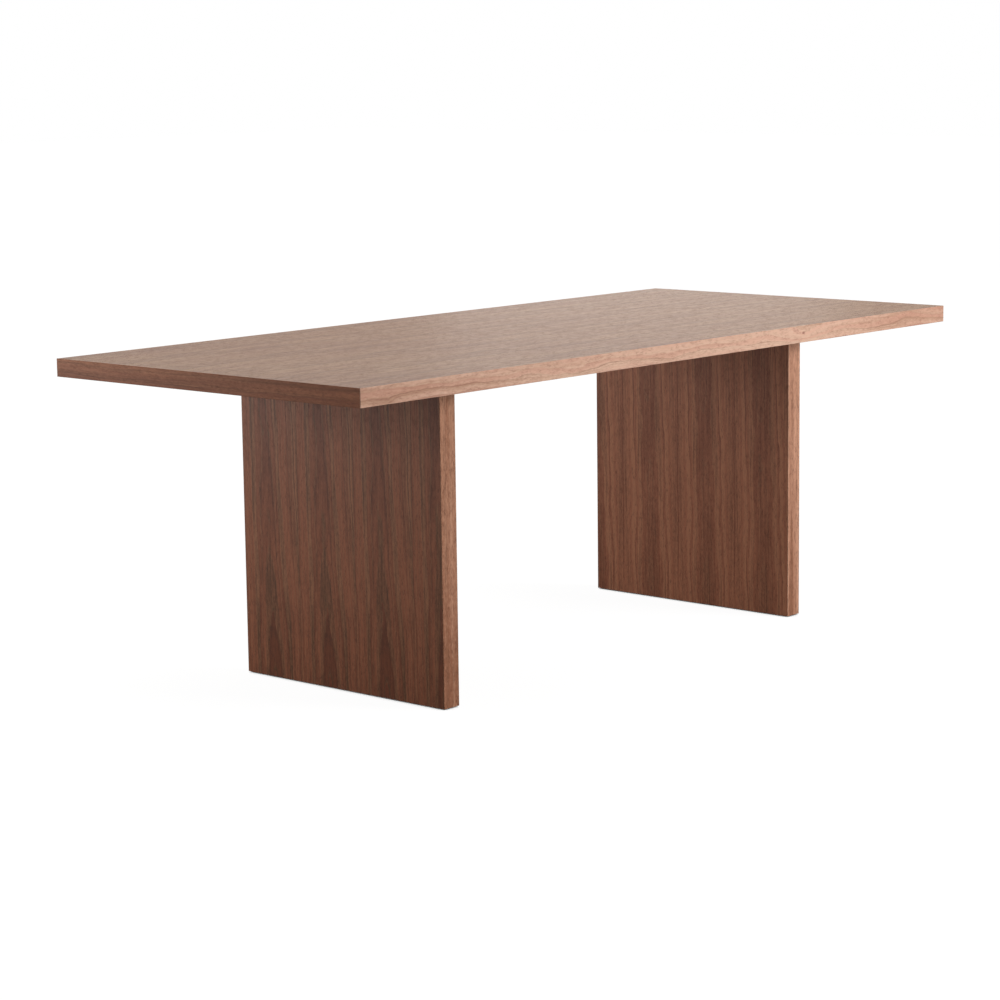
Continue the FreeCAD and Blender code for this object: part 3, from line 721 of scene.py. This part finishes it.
def threaded_rod(shape, centre, low, high, radius):
    """Adds a rod with a real helical thread, chamfered at both ends, to a mesh shape."""
    rows = len(THREAD_SHAPE)
    turns = math.ceil((high - low) / THREAD_PITCH) + 1
    root = radius - THREAD_DEPTH
    corners = {}

    def corner(step, row):
        """One corner of the thread, made when it is first asked for."""
        if step == ROUND_STEPS:
            step, row = 0, row + rows
        if (step, row) not in corners:
            angle = 2 * math.pi * step / ROUND_STEPS
            where, fullness = THREAD_SHAPE[row % rows]
            rise = row // rows + where + step / ROUND_STEPS
            height = min(max(low + rise * THREAD_PITCH, low), high)
            reach = root + min(fullness * THREAD_DEPTH, height - low, high - height)
            corners[step, row] = shape.verts.new(
                (centre[0] + reach * math.cos(angle), centre[1] + reach * math.sin(angle),
                 height))
        return corners[step, row]

    for row in range(-rows, turns * rows):
        for step in range(ROUND_STEPS):
            shape.faces.new((corner(step, row), corner(step + 1, row),
                             corner(step + 1, row + 1), corner(step, row + 1)))
    bmesh.ops.remove_doubles(shape, verts=list(corners.values()), dist=WELD)
    open_edges = [edge for edge in shape.edges if edge.is_boundary]
    bmesh.ops.holes_fill(shape, edges=open_edges)


def hexagon_reach(flats, angle):
    """How far a hexagon's side lies from its middle, in one direction."""
    sixth = math.pi / 3
    return flats / 2 / math.cos((angle + sixth / 2) % sixth - sixth / 2)


def stacked_rings(shape, centre, rings):
    """Adds a closed turned shape to a mesh shape.

    Each ring is (reach, height), and reach may be a function of the angle.
    """
    layers = []
    for reach, height in rings:
        layer = []
        for step in range(ROUND_STEPS):
            angle = 2 * math.pi * step / ROUND_STEPS
            out = reach(angle) if callable(reach) else reach
            layer.append(shape.verts.new((centre[0] + out * math.cos(angle),
                                          centre[1] + out * math.sin(angle), height)))
        layers.append(layer)
    for first, second in zip(layers, layers[1:]):
        for step in range(ROUND_STEPS):
            after = (step + 1) % ROUND_STEPS
            shape.faces.new((first[step], first[after], second[after], second[step]))
    shape.faces.new(layers[0])
    shape.faces.new(layers[-1])


def finished_piece(name, shape, body, nodes, finish):
    """Turns a mesh shape into a piece that rides on a body and stands for its nodes."""
    bmesh.ops.recalc_face_normals(shape, faces=shape.faces)
    mesh = bpy.data.meshes.new(name)
    shape.to_mesh(mesh)
    shape.free()
    for face in mesh.polygons:
        face.use_smooth = True
    mesh.set_sharp_from_angle(angle=SHARP_EDGE)
    piece = bpy.data.objects.new(name, mesh)
    bpy.context.scene.collection.objects.link(piece)
    mesh.materials.append(finish)
    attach(piece, body)
    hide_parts(*nodes)


def glide_thread(glide):
    """The threaded stem of one levelling glide."""
    stem = f"{glide}_stem"
    low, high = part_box(stem)
    middle = [(a + b) / 2 for a, b in zip(low, high)]
    radius = (high[0] - low[0]) / 2
    shape = bmesh.new()
    threaded_rod(shape, middle, low[2], high[2], radius)
    finished_piece(f"{glide}_thread", shape, glide, [stem], zinc)


SCREW_RADIUS = 4.0 * MM
SCREW_HEAD_RADIUS = 8.75 * MM
SCREW_HEAD_HEIGHT = 4.4 * MM
SCREW_HEAD_RIM = 0.5 * MM
SCREW_CROWN_RADIUS = 4.2 * MM
SOCKET_FLATS = 5.0 * MM
SOCKET_DEPTH = 2.6 * MM
SOCKET_CHAMFER_DEPTH = 0.3 * MM
SOCKET_CHAMFER_WIDTH = 0.55 * MM
DOME_STEPS = 6


def button_screw(shape, centre, crown, tip):
    """One button-headed machine screw with a hexagon socket, head down."""
    seat = crown + SCREW_HEAD_HEIGHT
    rim = seat - SCREW_HEAD_RIM
    dome_width = SCREW_HEAD_RADIUS - SCREW_CROWN_RADIUS
    dome_height = SCREW_HEAD_HEIGHT - SCREW_HEAD_RIM

    def socket(angle):
        """The socket's wall, seen from its middle."""
        return hexagon_reach(SOCKET_FLATS, angle)

    rings = [(socket, crown + SOCKET_DEPTH), (socket, crown + SOCKET_CHAMFER_DEPTH),
             (SOCKET_FLATS / 2 + SOCKET_CHAMFER_WIDTH, crown)]
    for step in range(DOME_STEPS + 1):
        turn = math.pi / 2 * step / DOME_STEPS
        rings.append((SCREW_CROWN_RADIUS + dome_width * math.sin(turn),
                      rim - dome_height * math.cos(turn)))
    rings += [(SCREW_HEAD_RADIUS, seat), (SCREW_RADIUS - THREAD_DEPTH, seat)]
    stacked_rings(shape, centre, rings)
    threaded_rod(shape, centre, seat, tip, SCREW_RADIUS)


def top_screws(side):
    """The four screws that hold one bracket under the top."""
    node = f"{side}_top_bolts"
    low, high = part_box(node)
    shape = bmesh.new()
    for x in (low[0] + SCREW_HEAD_RADIUS, high[0] - SCREW_HEAD_RADIUS):
        for y in (low[1] + SCREW_HEAD_RADIUS, high[1] - SCREW_HEAD_RADIUS):
            button_screw(shape, (x, y), low[2], high[2])
    finished_piece(f"{side}_top_screws", shape, "table", [node], zinc)


for side in ("left", "right"):
    top_screws(side)
    for edge in ("front", "back"):
        glide_thread(f"{side}_{edge}_glide")


# ---- floor, light and camera

WHITE = (1.0, 1.0, 1.0, 1.0)
WARM_ROOM = (1.0, 0.95, 0.885, 1.0)
FLOOR_GREY = (0.12, 0.12, 0.12, 1.0)
FLOOR_REACH = 30.0
# How near a piece hangs over the floor where it shuts off the sky.
CREVICE_REACH = 30.0 * MM


def pale_floor():
    """A wide floor that shows white, keeps the table's shadow and is clear from below.

    Under the legs, where the sky is shut off, it shows dark.
    """
    mesh = bpy.data.meshes.new("floor")
    ends = (-FLOOR_REACH, FLOOR_REACH)
    mesh.from_pydata([(x, y, 0) for x in ends for y in ends], [], [(0, 2, 3, 1)])
    floor = bpy.data.objects.new("floor", mesh)
    bpy.context.scene.collection.objects.link(floor)
    material = bpy.data.materials.new("pale_floor")
    material.use_nodes = True
    material.node_tree.nodes.clear()
    w = Wiring(material.node_tree)
    rays = w.add("ShaderNodeLightPath").outputs
    matt = w.add("ShaderNodeBsdfDiffuse", {"Color": FLOOR_GREY})
    away = w.add("ShaderNodeVectorMath", {0: w.object_place()}, operation="LENGTH")
    away = away.outputs["Value"]
    open_sky = w.add("ShaderNodeAmbientOcclusion", {"Distance": CREVICE_REACH}, samples=4)
    direct = w.times(rays["Is Camera Ray"], w.ramp(away, low=1.5, high=4.0, to_low=0.955),
                     w.ramp(open_sky.outputs["AO"], low=0.1, high=0.4))
    mirrored = w.times(w.calc("MAXIMUM", rays["Is Glossy Ray"], rays["Is Transmission Ray"]),
                       w.ramp(away, low=0.6, high=3.5, to_low=0.1))
    glow = w.add("ShaderNodeEmission", {"Color": w.mix(rays["Is Camera Ray"], WARM_ROOM, WHITE),
                                        "Strength": w.plus(direct, mirrored)})
    both = w.add("ShaderNodeAddShader", {0: matt.outputs[0], 1: glow.outputs[0]})
    clear = w.add("ShaderNodeBsdfTransparent")
    underside = w.add("ShaderNodeNewGeometry").outputs["Backfacing"]
    surface = w.add("ShaderNodeMixShader",
                    {0: underside, 1: both.outputs[0], 2: clear.outputs[0]})
    w.add("ShaderNodeOutputMaterial", {"Surface": surface.outputs[0]})
    mesh.materials.append(material)


def white_surroundings(strength):
    """Soft light from all round, which itself shows as plain white."""
    world = bpy.data.worlds.new("surroundings")
    world.use_nodes = True
    world.node_tree.nodes.clear()
    w = Wiring(world.node_tree)
    rays = w.add("ShaderNodeLightPath").outputs
    seen = w.calc("MAXIMUM", rays["Is Camera Ray"], rays["Is Glossy Ray"])
    seen = w.calc("MAXIMUM", seen, rays["Is Transmission Ray"])
    light = w.scaled(seen, times=1.0 - strength, plus=strength)
    background = w.add("ShaderNodeBackground",
                       {"Color": w.mix(rays["Is Camera Ray"], WARM_ROOM, WHITE),
                        "Strength": light})
    w.add("ShaderNodeOutputWorld", {"Surface": background.outputs[0]})
    bpy.context.scene.world = world


def soft_lamp(name, place, aim, size, power, mirrored=True):
    """A soft rectangular lamp. A lamp that isn't mirrored gives no glare."""
    lamp = bpy.data.lights.new(name, "AREA")
    lamp.shape = "RECTANGLE"
    lamp.size, lamp.size_y = size
    lamp.energy = power
    holder = bpy.data.objects.new(name, lamp)
    holder.location = place
    toward = Vector(aim) - Vector(place)
    holder.rotation_mode = "QUATERNION"
    holder.rotation_quaternion = toward.to_track_quat("-Z", "Y")
    holder.visible_glossy = mirrored
    bpy.context.scene.collection.objects.link(holder)


CAMERA_PLACE = (-4.99627, -4.31657, 1.41764)
CAMERA_AZIMUTH = math.radians(-48.4765)
CAMERA_ELEVATION = math.radians(9.2221)
CAMERA_ROLL = math.radians(-0.73)
CAMERA_LENS = 101.264
CAMERA_FILM_WIDTH = 36.0
CAMERA_FAR_END = 200.0


def camera_at_the_near_corner():
    """A long lens, a little above the top and rolled by a hair, off the table's near corner."""
    back = Vector((math.sin(CAMERA_AZIMUTH) * math.cos(CAMERA_ELEVATION),
                   -math.cos(CAMERA_AZIMUTH) * math.cos(CAMERA_ELEVATION),
                   math.sin(CAMERA_ELEVATION)))
    level_right = (-back).cross(Vector((0, 0, 1))).normalized()
    level_up = level_right.cross(-back)
    right = level_right * math.cos(CAMERA_ROLL) + level_up * math.sin(CAMERA_ROLL)
    up = level_up * math.cos(CAMERA_ROLL) - level_right * math.sin(CAMERA_ROLL)
    data = bpy.data.cameras.new("camera")
    data.sensor_width = CAMERA_FILM_WIDTH
    data.lens = CAMERA_LENS
    data.clip_end = CAMERA_FAR_END
    camera = bpy.data.objects.new("camera", data)
    camera.matrix_world = Matrix.Translation(CAMERA_PLACE) @ Matrix(
        (right, up, back)).transposed().to_4x4()
    bpy.context.scene.collection.objects.link(camera)
    bpy.context.scene.camera = camera


pale_floor()
white_surroundings(strength=0.20)
soft_lamp("key", place=(3.2, -6.5, 1.9), aim=(0.2, -0.3, 0.5), size=(3.0, 2.4), power=552.0,
          mirrored=False)
soft_lamp("overhead", place=(0.4, 0.4, 3.6), aim=(0.0, 0.0, 0.7), size=(3.0, 2.0), power=30.0)
soft_lamp("back_left", place=(-2.6, 2.7, 0.9), aim=(-0.2, 0.0, 0.4), size=(2.0, 1.2),
          power=50.0)
soft_lamp("back_right", place=(3.9, 2.8, 1.3), aim=(0.9, 0.0, 0.75), size=(1.6, 0.8),
          power=5.4)
camera_at_the_near_corner()
bpy.context.scene.view_settings.view_transform = "Standard"
